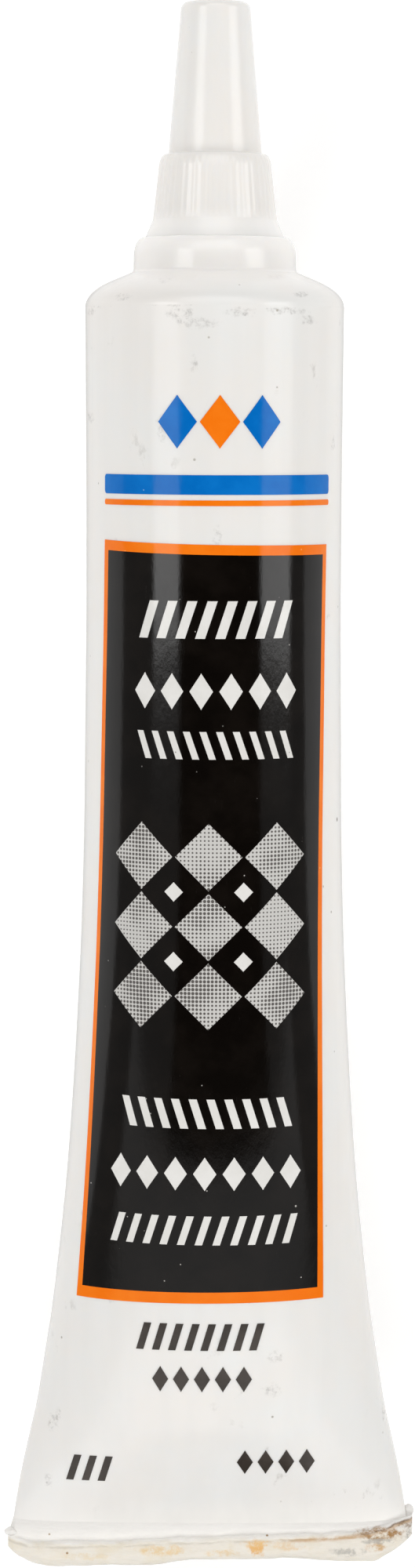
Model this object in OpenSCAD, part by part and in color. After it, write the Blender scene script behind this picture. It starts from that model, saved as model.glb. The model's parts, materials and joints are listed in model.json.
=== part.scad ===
// Lock lubricant tube: an extruded plastic sleeve, crimped flat and melted shut at its tail, with
// a moulded head, a press-in nozzle and a ribbed screw cap. It lies on its back on a table, with
// the printed side up. Every length is in millimetres, and s is the distance from the tail's end.

/* [Sleeve] */
// Outer diameter of the sleeve where it is round
sleeve_d = 19; // [16:0.5:25]
// Wall of the sleeve
sleeve_wall = 0.5; // [0.35:0.05:0.9]
// Length of the sleeve from the top of the tail seal to the head
sleeve_length = 91.2; // [60:0.1:140]
// Width of the sleeve where it is pressed flat
flat_width = 29.8; // [28.5:0.1:32]

/* [Tail seal] */
// Height of the melted tail seal
seal_height = 3.6; // [2:0.1:6]
// Width of the seal with its squeezed-out ends
seal_width = 31.2; // [29:0.1:34]
// Thickness of the melted bead
bead_thickness = 2.2; // [1.6:0.1:3]

/* [Head] */
// Diameter of the collar that the cap closes down on
collar_d = 11.9; // [10:0.1:14]
// Height of the collar
collar_height = 2.5; // [1.5:0.1:4]
// Rise of the sloping shoulder, from the round edge of the sleeve to the collar
shoulder_rise = 2.6; // [1.5:0.1:4]
// Radius of the rounded edge between the shoulder and the sleeve
shoulder_round = 1.4; // [0.5:0.1:2]
// Wall of the head under its sloping shoulder
head_wall = 1.2; // [0.8:0.1:2]
// Depth of the ring that plugs into the sleeve
plug_depth = 4; // [2:0.5:8]
// Outer diameter of the neck, without its thread
neck_d = 5.3; // [4.8:0.1:5.6]
// Height of the neck above the collar
neck_height = 4.4; // [4:0.1:5]

/* [Thread] */
// Rise of the thread in one turn
thread_pitch = 1.6; // [1.4:0.1:2]
// Number of turns of the neck's thread
thread_turns = 2; // [1:0.25:2.5]
// How far a thread stands out from its wall
thread_depth = 0.4; // [0.3:0.05:0.5]

/* [Nozzle] */
// Diameter of the nozzle at its foot
nozzle_foot_d = 4.2; // [3.6:0.1:4.6]
// Diameter of the nozzle at its tip
nozzle_tip_d = 2.6; // [2.2:0.1:3]
// Length of the nozzle above the neck
nozzle_length = 10.4; // [8:0.1:14]
// Diameter of the hole that the powder is puffed through
orifice_d = 1.2; // [0.8:0.1:1.6]
// Depth of the nozzle's shank in the neck
shank_depth = 4; // [2:0.5:6]

/* [Cap] */
// Diameter of the flared lip at the cap's mouth
cap_lip_d = 10.2; // [9.6:0.1:11.5]
// Diameter of the ribbed skirt above the lip, over its ribs
skirt_foot_d = 9.1; // [8.9:0.1:10.5]
// Diameter of the ribbed skirt at its top, over its ribs
skirt_top_d = 8.3; // [8.1:0.1:9]
// Diameter of the cap's cone where it leaves the skirt
cone_foot_d = 6.85; // [6.5:0.05:7.5]
// Diameter of the cap's cone at its tip
cone_tip_d = 5.1; // [4.8:0.1:6]
// Height of the flared lip
lip_height = 1.1; // [0.6:0.1:2]
// Height of the skirt from its mouth to the foot of the cone
skirt_height = 5.85; // [5.6:0.05:7]
// Height of the cone
cone_height = 11; // [10.8:0.1:16]
// Number of grip ribs round the skirt
rib_count = 52; // [30:1:60]
// How far the ribs stand out
rib_depth = 0.12; // [0.08:0.01:0.15]

/* [Print] */
// Distance from the sleeve's head end to the top of the printed panel
panel_top_gap = 17.3; // [5:0.1:40]
// Length of the printed panel
panel_length = 55.7; // [20:0.1:70]
// Width of the printed panel, measured round the sleeve
panel_width = 19.35; // [10:0.05:24]
// How far the top of the print lies right of the front's middle
print_shift_top = 0.25; // [-1.5:0.05:1.5]
// How far the foot of the print lies right of the front's middle
print_shift_foot = -1.05; // [-1.5:0.05:1.5]
// Width of the border line at the panel's ends
border_width = 0.62; // [0.3:0.02:1.5]
// Width of the border line at the panel's sides, measured round the sleeve
side_border_width = 0.36; // [0.2:0.02:1]
// Thickness of the printed ink, thicker than real ink so that it is a solid
ink = 0.05; // [0.03:0.01:0.1]

/* [Powder] */
// Height of the powder's level in the lying tube, as a share of the bore
powder_level_share = 0.58; // [0.2:0.01:0.85]

/* [Hidden] */
$fn = 96;

// Clearances
fit_gap = 0.05;
ink_gap = 0.02;
thread_gap = 0.2;
cap_gap = 0.2;
seat_gap = 0.3;
overrun = 1;

// Sleeve
sleeve_r = sleeve_d / 2;
bore_r = sleeve_r - sleeve_wall;
flat_r = flat_width / 2;
// Half the width that the sleeve's girth gives when it is quite flat
full_flat_r = PI * sleeve_r / 2;
sleeve_sides = 64;
height_error = 0.0001;
// Half the angle of the strip along the back that lies flat on the table
back_strip_angle = 8;
// Places of the rings along the sleeve, from seal to head, and how far each is pressed flat
sleeve_form_shares = [
  [0.00, 1.000], [0.02, 0.950], [0.045, 0.875], [0.07, 0.785], [0.10, 0.670], [0.14, 0.560],
  [0.18, 0.455], [0.23, 0.355], [0.28, 0.268], [0.33, 0.200], [0.385, 0.140], [0.44, 0.090],
  [0.49, 0.052], [0.54, 0.026], [0.59, 0.008], [0.64, 0.000], [0.69, -0.008], [0.76, -0.018],
  [0.84, -0.017], [0.92, -0.010], [1.00, 0.000]
];
// Least half thickness of the pressed tail, as walls
pressed_walls = 1.5;

// Places along the axis
sleeve_foot_s = seal_height;
sleeve_top_s = sleeve_foot_s + sleeve_length;
collar_foot_s = sleeve_top_s + shoulder_rise;
collar_top_s = collar_foot_s + collar_height;
neck_top_s = collar_top_s + neck_height;
cap_foot_s = collar_top_s + cap_gap;
cone_foot_s = cap_foot_s + skirt_height;
overall_length = cone_foot_s + cone_height;
nozzle_tip_s = neck_top_s + nozzle_length;

// Head
collar_round_share = 0.55;
collar_inset_share = 0.12;
plug_wall_share = 0.9;
neck_bore_share = 0.58;
slope_rise_share = 0.36;
edge_from_angle = 5;
edge_to_angle = 70;
collar_r = collar_d / 2;
collar_round = collar_round_share * collar_height;
collar_inset = collar_inset_share * collar_r;
plug_r = bore_r * cos(back_strip_angle) - fit_gap;
plug_wall = plug_wall_share * head_wall;
plug_foot_s = sleeve_top_s - plug_depth;
neck_r = neck_d / 2;
neck_bore_r = neck_bore_share * neck_r;
shoulder_slope_rise = slope_rise_share * shoulder_rise;

// Thread, as a ridge of four corners that climbs round a wall
thread_steps = 24;
ridge_foot_share = 0.5;
ridge_crest_share = 0.22;
ridge_sink_share = 0.25;
ridge_least_share = 0.2;
run_out_turns = 0.25;
thread_start_share = 0.55;
ridge_sink = ridge_sink_share * thread_depth;
thread_foot_s = cap_foot_s + thread_start_share * thread_pitch;
// The cap's thread is half a turn shorter than the neck's, and lies half a pitch higher
cap_thread_turns = thread_turns - 1 / 2;
cap_thread_foot_s = thread_foot_s + thread_pitch / 2;
cap_bore_r = neck_r + thread_depth + thread_gap;

// Nozzle
nozzle_flange_r = neck_r - 2 * fit_gap;
nozzle_flange_height = 0.5;
nozzle_foot_s = neck_top_s + nozzle_flange_height;
powder_way_share = 0.75;
shank_r = neck_bore_r - fit_gap;
shank_foot_s = neck_top_s - shank_depth;
powder_way_r = powder_way_share * shank_r;
orifice_r = orifice_d / 2;

// Cap
lip_r = cap_lip_d / 2;
skirt_foot_r = skirt_foot_d / 2 - rib_depth;
skirt_top_r = skirt_top_d / 2 - rib_depth;
cone_foot_r = cone_foot_d / 2;
cone_tip_r = cone_tip_d / 2;
tip_round_share = 0.16;
skirt_round_share = 0.55;
round_steps = 4;
tip_round = tip_round_share * cone_tip_r;
skirt_round = skirt_round_share * (skirt_top_r - cone_foot_r);
cap_wall = 0.75;
cap_roof = 1.2;
cap_inner_top_s = overall_length - cap_roof;
cap_step_s = nozzle_foot_s + seat_gap;
rib_foot_s = cap_foot_s + lip_height;
rib_top_s = cone_foot_s - skirt_round;
// Radius of a rib, as a share of the girth that it has to itself
rib_r_share = 0.3;
rib_r = rib_r_share * PI * skirt_top_d / rib_count;

// Cap seal
seal_disc_height = 0.8;
seal_disc_r = cone_inner_r(cap_inner_top_s) - fit_gap;
seal_disc_top_s = cap_inner_top_s - fit_gap;
seal_disc_foot_s = seal_disc_top_s - seal_disc_height;
seal_pin_r = orifice_r - fit_gap;
seal_pin_depth = 1.2;

// Tail seal
bead_r = bead_thickness / 2;
seal_steps = 24;
seal_sides = 12;
bead_ripples = 7;
bead_ripple_share = 0.15;
seal_end_share = 0.05;
seal_end_power = 12;
// Lip line and lower edge of the bead across its width, left to right, as shares of the seal
seal_lip_shares = [0.76, 0.48, 0.50, 0.55, 0.58, 0.61, 0.64, 0.67, 0.69, 0.72, 0.78, 0.92, 1.00];
seal_edge_shares = [0.43, 0.02, 0.00, 0.05, 0.08, 0.13, 0.18, 0.18, 0.20, 0.20, 0.13, 0.18, 0.80];

// Print
panel_top_s = sleeve_top_s - panel_top_gap;
panel_foot_s = panel_top_s - panel_length;
panel_columns = 20;
panel_inner_foot_s = panel_foot_s + border_width;
panel_inner_top_s = panel_top_s - border_width;

// Powder
powder_gap = 0.15;
powder_sides = 32;
powder_first_ring = 2;
powder_top_s = plug_foot_s - seat_gap;
powder_level = (2 * powder_level_share - 1) * bore_r;

// Half width of the sleeve at a distance s, for a half width of end_r at the seal
function pressed_r(s, end_r) =
  sleeve_r + (end_r - sleeve_r) * lookup((s - sleeve_foot_s) / sleeve_length, sleeve_form_shares);

// Girth of an ellipse, and the half height that keeps the sleeve's girth at a given half width
function girth(a, b) = PI * (3 * (a + b) - sqrt((3 * a + b) * (a + 3 * b)));
function find_half_height(a, low, high) =
  let (b = (low + high) / 2)
    high - low < height_error ? b
    : girth(a, b) > 2 * PI * sleeve_r ? find_half_height(a, low, b) : find_half_height(a, b, high);
ring_places = [for (row = sleeve_form_shares) sleeve_foot_s + row[0] * sleeve_length];
ring_heights = [
  for (s = ring_places)
    [s, max(pressed_walls * sleeve_wall,
            find_half_height(pressed_r(s, full_flat_r), 0, sleeve_d))]
];
function half_height(s) = lookup(s, ring_heights);

// Rings of the sleeve that the printed panel crosses
panel_rings = [for (s = ring_places) if (s > panel_inner_foot_s + ink && s < panel_inner_top_s - ink) s];

// The lowest of the sleeve's rings lies on the table, on its flat strip
axis_height = max([for (ring = ring_heights) ring[1]]) * cos(back_strip_angle);

// A point on the sleeve at the distance s and the angle from the front's middle, raised by grow
function on_sleeve(s, angle, grow) =
  [(pressed_r(s, flat_r) + grow) * sin(angle), s, (half_height(s) + grow) * cos(angle)];

// A ring round the sleeve, whose last side is the flat strip along the back
function sleeve_ring(s, grow) =
  [for (j = [0 : sleeve_sides - 1])
    on_sleeve(s, 180 + back_strip_angle + 2 * (180 - back_strip_angle) * j / (sleeve_sides - 1), grow)];

// A place on the seal at a share u of its width, from one of its tables, and the middle of its bead
function across_seal(shares, u) =
  let (last = len(shares) - 1)
    seal_height * lookup(u * last, [for (i = [0 : last]) [i, shares[i]]]);
function middle_of_seal(u) = (across_seal(seal_lip_shares, u) + across_seal(seal_edge_shares, u)) / 2;

// Inner radius of the cap's cone
function cone_inner_r(s) =
  cone_foot_r + (cone_tip_r - cone_foot_r) * (s - cone_foot_s) / cone_height - cap_wall;

// Faces between neighbouring rings of n points each, for a number of steps from ring 0, where the
// ring after the last one is ring 0 again
function ring_faces(n, count, steps) = [
  for (i = [0 : steps - 1], j = [0 : n - 1])
    let (here = i * n, next = (i + 1) % count * n, k = (j + 1) % n)
      each [[here + j, next + j, here + k], [here + k, next + j, next + k]]
];
function turned_over(faces) = [for (f = faces) [f[2], f[1], f[0]]];
function fan(n, ring) = [for (j = [1 : n - 2]) [ring * n, ring * n + j, ring * n + j + 1]];

// A point on an arc round [x, y]
function arc(x, y, rx, ry, from, to, steps = 8) =
  [for (i = [0 : steps]) let (t = from + (to - from) * i / steps) [x + rx * cos(t), y + ry * sin(t)]];

// Puts the tube's axis along Y, at its height above the table, with the overall length centred
module in_place() {
  translate([0, -overall_length / 2, axis_height]) children();
}

module turned_about_axis() {
  in_place() rotate([-90, 0, 0]) rotate_extrude() children();
}

// Closed solid through rings with the same number of points, capped at both ends, or bent round
// so that the last ring joins the first
module rings_solid(rings, is_loop = false) {
  n = len(rings[0]);
  count = len(rings);
  ends = is_loop ? [] : concat(fan(n, 0), turned_over(fan(n, count - 1)));
  polyhedron(points = [for (ring = rings) each ring],
             faces = concat(ring_faces(n, count, is_loop ? count : count - 1), ends));
}

// A thread ridge from the wall at radius r towards the radius r + depth, which may be inwards
module thread_ridge(r, depth, from_s, turns) {
  outward = sign(depth);
  steps = ceil(turns * thread_steps);
  foot = ridge_foot_share * thread_pitch / 2;
  crest = ridge_crest_share * thread_pitch / 2;
  rings = [
    for (i = [0 : steps])
      let (turn = turns * i / steps, rise = from_s + turn * thread_pitch, a = 360 * turn,
           fade = min(1, ridge_least_share + min(turn, turns - turn) / run_out_turns),
           r0 = r - outward * ridge_sink, r1 = r + depth * fade)
        [for (p = [[r0, -foot], [r0, foot], [r1, crest], [r1, -crest]])
          [p[0] * cos(a), p[0] * sin(a), rise + outward * p[1]]]
  ];
  rotate([-90, 0, 0]) rings_solid(rings);
}

// The sleeve's wall, open at the head end and pressed shut at the seal
module tube_sleeve() {
  last = len(ring_places) - 1;
  outer = [for (s = ring_places) sleeve_ring(s, 0)];
  inner = [for (i = [last : -1 : 1]) sleeve_ring(ring_places[i], -sleeve_wall)];
  color("WhiteSmoke") in_place() rings_solid(concat(outer, inner));
}

// The bead of melted wall that closes the tail, uneven along its length, with the pressed walls
// that run up from it to the sleeve
module end_seal() {
  rings = [
    for (i = [0 : seal_steps])
      let (u = i / seal_steps,
           lip_s = across_seal(seal_lip_shares, u),
           edge_s = across_seal(seal_edge_shares, u),
           ripple = bead_ripple_share * sin(bead_ripples * 180 * u),
           end_share = sqrt(max(seal_end_share, 1 - pow(2 * u - 1, seal_end_power))),
           rz = bead_r * (1 - bead_ripple_share + ripple) * end_share)
        [for (j = [0 : seal_sides - 1])
          let (t = 360 * j / seal_sides)
            [(u - 1 / 2) * seal_width,
             (lip_s + edge_s) / 2 + (lip_s - edge_s) / 2 * cos(t),
             rz * sin(t)]]
  ];
  web = sleeve_ring(sleeve_foot_s, 0);
  web_foot = [for (p = web) [p[0], middle_of_seal(p[0] / seal_width + 1 / 2), p[2]]];
  color("AntiqueWhite") in_place() {
    rings_solid(rings);
    rings_solid([web_foot, web]);
  }
}

// Moulded head: plug ring, sloping shoulder, collar and threaded neck, bored for the nozzle
module tube_head() {
  plug_inner_r = plug_r - plug_wall;
  color("White") {
    turned_about_axis() difference() {
      polygon(concat(
        [[0, plug_foot_s], [plug_r, plug_foot_s], [plug_r, sleeve_top_s], [sleeve_r, sleeve_top_s]],
        arc(sleeve_r - shoulder_round, sleeve_top_s, shoulder_round, shoulder_rise - shoulder_slope_rise,
            edge_from_angle, edge_to_angle),
        [[collar_r, collar_foot_s]],
        arc(collar_r - collar_inset, collar_top_s - collar_round, collar_inset, collar_round, 0, 90),
        [[neck_r, collar_top_s], [neck_r, neck_top_s], [0, neck_top_s]]));
      polygon([
        [0, plug_foot_s - overrun], [plug_inner_r, plug_foot_s - overrun],
        [plug_inner_r, sleeve_top_s - head_wall / 2], [neck_bore_r, collar_foot_s - head_wall / 2],
        [neck_bore_r, neck_top_s + overrun], [0, neck_top_s + overrun]]);
    }
    in_place() thread_ridge(neck_r, thread_depth, thread_foot_s, thread_turns);
  }
}

// Press-in nozzle: a shank in the neck, a flange on it and a long tapered tip
module nozzle() {
  color("White") turned_about_axis() difference() {
    polygon([
      [0, shank_foot_s], [shank_r, shank_foot_s], [shank_r, neck_top_s], [nozzle_flange_r, neck_top_s],
      [nozzle_flange_r, nozzle_foot_s], [nozzle_foot_d / 2, nozzle_foot_s],
      [nozzle_tip_d / 2, nozzle_tip_s], [0, nozzle_tip_s]]);
    polygon([
      [0, shank_foot_s - overrun], [powder_way_r, shank_foot_s - overrun], [powder_way_r, neck_top_s],
      [orifice_r, nozzle_tip_s - 2 * seal_pin_depth], [orifice_r, nozzle_tip_s + overrun],
      [0, nozzle_tip_s + overrun]]);
  }
}

// Screw cap: flared lip, ribbed skirt and cone, with a thread inside the skirt
module screw_cap() {
  color("White") {
    turned_about_axis() difference() {
      polygon(concat(
        [[0, cap_foot_s], [lip_r, cap_foot_s], [skirt_foot_r, rib_foot_s], [skirt_top_r, rib_top_s]],
        arc(skirt_top_r - skirt_round, rib_top_s, skirt_round, skirt_round, 0, 90, round_steps),
        [[cone_foot_r, cone_foot_s]],
        arc(cone_tip_r - tip_round, overall_length - tip_round, tip_round, tip_round, 0, 90, round_steps),
        [[0, overall_length]]));
      polygon([
        [0, cap_foot_s - overrun], [cap_bore_r, cap_foot_s - overrun], [cap_bore_r, cap_step_s],
        [cone_inner_r(cap_step_s), cap_step_s], [cone_inner_r(cap_inner_top_s), cap_inner_top_s],
        [0, cap_inner_top_s]]);
    }
    in_place() thread_ridge(cap_bore_r, -thread_depth, cap_thread_foot_s, cap_thread_turns);
    in_place() grip_ribs();
  }
}

// Round ribs that lean with the skirt
module grip_ribs() {
  rib_length = rib_top_s - rib_foot_s;
  lean = atan((skirt_foot_r - skirt_top_r) / rib_length);
  for (i = [0 : rib_count - 1])
    rotate([0, 360 * i / rib_count, 0])
      translate([skirt_foot_r - rib_r + rib_depth, rib_foot_s, 0])
        rotate([-90, 0, lean]) cylinder(r = rib_r, h = rib_length / cos(lean));
}

// Plug in the cap's tip, whose pin closes the nozzle
module cap_seal() {
  color("Gainsboro") turned_about_axis() polygon([
    [0, nozzle_tip_s - seal_pin_depth], [seal_pin_r, nozzle_tip_s - seal_pin_depth],
    [seal_pin_r, seal_disc_foot_s], [seal_disc_r, seal_disc_foot_s], [seal_disc_r, seal_disc_top_s],
    [0, seal_disc_top_s]]);
}

// Loose powder, level in the lying tube
module graphite_powder() {
  places = [for (i = [powder_first_ring : len(ring_places) - 1]) if (ring_places[i] < powder_top_s)
              ring_places[i]];
  rings = [
    for (s = concat(places, [powder_top_s]))
      [for (j = [0 : powder_sides - 1])
        let (p = on_sleeve(s, 180 + 360 * j / powder_sides, -sleeve_wall - powder_gap))
          [p[0], s, min(p[2], powder_level)]]
  ];
  color("DimGray") in_place() rings_solid(rings);
}

// The angle on an oval with the half width a and the half height b, at a distance round it from the
// front's middle
function angle_at(a, b, distance, from = 0) =
  let (step = PI / 180 * sqrt(pow(a * cos(from), 2) + pow(b * sin(from), 2)))
    distance <= step ? from + distance / step : angle_at(a, b, distance - step, from + 1);

// A point of the print at a distance s, and a share of the way across it from left to right
function on_print(s, across, inset, grow) =
  let (down = (panel_top_s - s) / panel_length,
       shift = print_shift_top + (print_shift_foot - print_shift_top) * down,
       place = shift + (across - 1 / 2) * (panel_width - 2 * inset),
       angle = angle_at(pressed_r(s, flat_r), half_height(s), abs(place)))
    on_sleeve(s, sign(place) * angle, grow);

// Dark panel on the front
module printed_panel() {
  shares = [for (j = [0 : panel_columns]) j / panel_columns];
  back_shares = [for (j = [panel_columns : -1 : 0]) j / panel_columns];
  rings = [
    for (s = concat([panel_inner_foot_s], panel_rings, [panel_inner_top_s]))
      concat([for (share = shares) on_print(s, share, side_border_width, ink_gap + ink)],
             [for (share = back_shares) on_print(s, share, side_border_width, ink_gap)])
  ];
  color("#181614") in_place() rings_solid(rings);
}

// Bright line round the panel, as one loop: along the foot, up the right, back and down the left
module panel_border() {
  stops = concat(
    [for (j = [0 : panel_columns]) [panel_foot_s, panel_inner_foot_s, j / panel_columns]],
    [for (s = panel_rings) [s, s, 1]],
    [for (j = [panel_columns : -1 : 0]) [panel_top_s, panel_inner_top_s, j / panel_columns]],
    [for (i = [len(panel_rings) - 1 : -1 : 0]) [panel_rings[i], panel_rings[i], 0]]);
  top = ink_gap + ink;
  rings = [
    for (stop = stops)
      [on_print(stop[0], stop[2], 0, ink_gap), on_print(stop[1], stop[2], side_border_width, ink_gap),
       on_print(stop[1], stop[2], side_border_width, top), on_print(stop[0], stop[2], 0, top)]
  ];
  color("#F97A0E") in_place() rings_solid(rings, is_loop = true);
}

tube_sleeve();
end_seal();
tube_head();
nozzle();
screw_cap();
cap_seal();
graphite_powder();
printed_panel();
panel_border();
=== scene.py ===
import json
import math
from bisect import bisect_right
from functools import lru_cache

import bpy
from mathutils import Matrix, Vector, noise


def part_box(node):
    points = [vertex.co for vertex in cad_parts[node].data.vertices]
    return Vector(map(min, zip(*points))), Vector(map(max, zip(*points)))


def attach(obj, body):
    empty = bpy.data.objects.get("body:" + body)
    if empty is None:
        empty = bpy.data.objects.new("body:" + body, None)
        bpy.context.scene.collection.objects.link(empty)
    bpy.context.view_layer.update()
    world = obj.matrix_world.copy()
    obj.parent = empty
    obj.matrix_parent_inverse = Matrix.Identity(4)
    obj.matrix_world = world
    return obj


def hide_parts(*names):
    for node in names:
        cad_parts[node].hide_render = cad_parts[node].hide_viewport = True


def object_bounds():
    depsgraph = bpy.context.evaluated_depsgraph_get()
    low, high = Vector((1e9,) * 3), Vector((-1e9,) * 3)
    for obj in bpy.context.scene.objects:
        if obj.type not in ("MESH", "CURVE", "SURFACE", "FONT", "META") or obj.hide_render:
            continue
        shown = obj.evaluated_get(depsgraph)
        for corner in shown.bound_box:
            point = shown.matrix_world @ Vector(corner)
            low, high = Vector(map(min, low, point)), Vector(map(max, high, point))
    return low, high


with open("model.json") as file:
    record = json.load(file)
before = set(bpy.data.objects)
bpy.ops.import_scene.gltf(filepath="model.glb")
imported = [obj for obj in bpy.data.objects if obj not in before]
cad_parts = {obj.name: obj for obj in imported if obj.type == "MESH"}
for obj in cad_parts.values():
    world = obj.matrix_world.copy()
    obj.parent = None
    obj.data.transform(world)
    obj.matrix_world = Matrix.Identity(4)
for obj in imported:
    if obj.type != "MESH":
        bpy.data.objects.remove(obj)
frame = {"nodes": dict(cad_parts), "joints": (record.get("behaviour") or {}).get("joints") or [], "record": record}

# Looks of a white squeeze tube of dry lubricant that lies on its back.
# Inside this script a place on the tube is (x, s, h) in millimetres: x to the right, s from the
# tail's end towards the cap, and h above the tube's axis. u is a distance round the sleeve from
# the middle of its front.

MM = 0.001
CAD_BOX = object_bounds()


def named(rows, name):
    """The row of this name."""
    return next(row for row in rows if row["name"] == name)


TAIL_Y = CAD_BOX[0][1] / MM
AXIS_Z = named(frame["joints"], "cap_turn")["pos_m"][2] / MM


def span(node):
    """A CAD node's lowest and highest s, and half its width, in millimetres."""
    low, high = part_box(node)
    return low.y / MM - TAIL_Y, high.y / MM - TAIL_Y, (high.x - low.x) / 2 / MM


# Sizes that the frame gives
SEAL_TOP, SLEEVE_TOP, FLAT_R = span("tube_sleeve")
HEAD_FOOT, NECK_TOP, SLEEVE_R = span("tube_head")
CAP_FOOT, CAP_TOP, LIP_R = span("screw_cap")
NOZZLE_FOOT, NOZZLE_TIP, NOZZLE_FLANGE_R = span("nozzle")
SEAL_R = span("end_seal")[2]
COLLAR_R = named(frame["record"]["mounts"], "holder_collar")["dims"]["r_mm"]
# The print lies this much nearer the cap than the frame's panel
PRINT_SHIFT = 0.15
PANEL_FOOT, PANEL_TOP = (s + PRINT_SHIFT for s in span("panel_border")[:2])

# Edges that turn by more than this stay sharp
SHARP = math.radians(40)

# Sleeve
WALL = 0.5
PRESSED_HALF = 0.75
BORE_LEAST_HALF = 0.12
BACK_STRIP_ANGLE = math.radians(8)
RINGS = 170
SIDES = 144
# Halvings in the search for the sleeve's half height
HALVINGS = 40
# The sleeve's form: share of the way from the tail to the head, and how much of the width that
# pressing it flat adds
FORM = [
    (0.00, 1.000), (0.02, 0.950), (0.045, 0.875), (0.07, 0.785), (0.10, 0.670), (0.14, 0.560),
    (0.18, 0.455), (0.23, 0.355), (0.28, 0.268), (0.33, 0.200), (0.385, 0.140), (0.44, 0.090),
    (0.49, 0.052), (0.54, 0.026), (0.59, 0.008), (0.64, 0.000), (0.69, -0.008), (0.76, -0.018),
    (0.84, -0.017), (0.92, -0.010), (1.00, 0.000),
]

# Melted tail

# Height of the lip line and of the bead's lower edge, as (x, s) from the left end to the right
LIP_LINE = [
    (-15.6, 2.55), (-13.0, 2.05), (-10.2, 2.05), (-5.1, 2.25), (0.0, 2.45), (5.0, 2.6),
    (10.2, 2.85), (12.7, 3.25), (14.4, 3.9), (15.6, 4.15),
]
LOWER_EDGE = [
    (-15.6, 2.0), (-15.1, 1.3), (-14.3, 0.7), (-12.9, 0.15), (-11.6, 0.05), (-7.7, 0.1),
    (-3.8, 0.25), (-1.3, 0.55), (2.1, 0.6), (7.0, 0.7), (10.0, 0.5), (12.3, 0.5), (13.5, 1.1),
    (14.9, 2.1), (15.6, 2.9),
]
# The web between the lip and the sleeve: share of the way up, and half thickness
WEB_FORM = [
    (1, 0.745), (0.85, 0.745), (0.7, 0.745), (0.57, 0.743), (0.45, 0.74), (0.3, 0.72),
    (0.12, 0.69), (0.03, 0.70),
]
# The bead from its lip to its edge: share of the way, and share of its half thickness
BEAD_FORM = [
    (0.00, 0.74), (0.025, 0.90), (0.06, 0.98), (0.10, 1.00), (0.14, 0.97), (0.19, 0.89),
    (0.25, 0.86), (0.34, 0.89), (0.44, 0.91), (0.54, 0.90), (0.64, 0.86), (0.74, 0.78),
    (0.83, 0.66), (0.90, 0.52), (0.95, 0.36), (0.985, 0.18), (1.00, 0.05),
]
BEAD_HALF = 1.067
TAIL_SIDES = 480
# Room that the bead's ends and the web leave inside the frame's end_seal and the sleeve
BEAD_END_ROOM = 0.3
WEB_ROOM = 0.02
# How far the web reaches into the sleeve
WEB_OVERLAP = 0.25
# Ripples of the lip, the lower edge and the bead between them, and of the bead's thickness
LIP_RIPPLE = 0.14
EDGE_RIPPLE = 0.1
BEAD_RIPPLE = 0.05
SWELL = 0.16
SWELL_LESS = 0.05
# The most that the swell makes of the bead's thickness, in front and behind
FRONT_MOST, BACK_MOST = 1.1, 1.0
# A ring's section: how its points crowd towards its ends, the powers that make the bead's blunt
# ends and the sleeve's oval, how far up the web the blunt ends last, and how its sides turn over
END_CROWDING = 0.9
BLUNT_POWER, BLUNT_ROOT = 5, 0.4
OVAL_POWER, OVAL_ROOT = 2, 0.5
BLUNT_UP_TO = 0.15
SIDE_STEEPNESS, SIDE_ROOT = 5, 0.6
# Lumps at the bead's ends: place, half sizes, seed
BEAD_LUMPS = [
    ((-15.05, 2.75, 0.1), (0.5, 0.3, 0.4), 1),
    ((15.0, 4.35, -0.35), (0.4, 0.45, 0.35), 4),
]
LUMP_STEPS = 20
LUMP_UNEVENNESS = 0.25

# Head
SHOULDER_HEIGHT = 2.6
COLLAR_HEIGHT = 2.5
COLLAR_FOOT = SLEEVE_TOP + SHOULDER_HEIGHT
COLLAR_TOP = COLLAR_FOOT + COLLAR_HEIGHT
NECK_R = 2.65
NECK_BORE_R = 1.54
NECK_ROUND = 0.15
PLUG_GAP = 0.1
PLUG_R = SLEEVE_R * math.cos(BACK_STRIP_ANGLE) - WALL - PLUG_GAP
PLUG_WALL = 1.08
# The head's inside lies this much further down the tube than its outside
HEAD_DEPTH = 0.6
SHOULDER_CORNER_RISE = 1.14
SHOULDER_BEND_RISE = 2.0
SHOULDER_BEND_R = 7.4
COLLAR_ROUND = 1.375
COLLAR_INSET = 0.714
COLLAR_SWELL = 0.02
COLLAR_FOOT_ROUND = 0.3

# Thread
THREAD_PITCH = 1.6
NECK_TURNS = 2
CAP_TURNS = 1.5
THREAD_DEPTH = 0.4
NECK_THREAD_FOOT = CAP_FOOT + 0.88
CAP_THREAD_FOOT = CAP_FOOT + 1.68
# The ridge's profile: place along the tube, and share of its depth
RIDGE = ((-0.4, -0.25), (-0.17, 0.8), (0, 1), (0.17, 0.8), (0.4, -0.25))
# Share of its depth that the ridge has at its ends, and what it gains a turn from there
RIDGE_END = 0.15
RIDGE_GAIN = 4
RIDGE_STEPS = 48

# Cap
SKIRT_HEIGHT = 5.85
LIP_HEIGHT = 1.1
SKIRT_FOOT_R = 4.55
SKIRT_TOP_R = 4.15
CONE_FOOT_R = 3.42
CONE_TIP_R = 2.55
CAP_BORE_R = 3.25
CAP_WALL = 0.75
CAP_ROOF = 1.2
LEDGE_RISE = 1.2
LEDGE_ROUND = 0.5
TIP_ROUND = 0.55
LIP_ROUND = 0.02
SKIRT_FOOT_ROUND = 0.5
CONE_FOOT_ROUND = 0.12
# A turned profile ends this near the axis
AXIS_R = 0.05
MOUTH_GAP = 0.004
FLUTES = 52
FLUTE_DEPTH = 0.024
STEPS_A_FLUTE = 8
# Where the flutes begin above the lip, and where they end under the ledge
FLUTES_FROM, FLUTES_FULL = 0.02, 0.2
FLUTES_FADE, FLUTES_END = 0.5, 0.05

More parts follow.
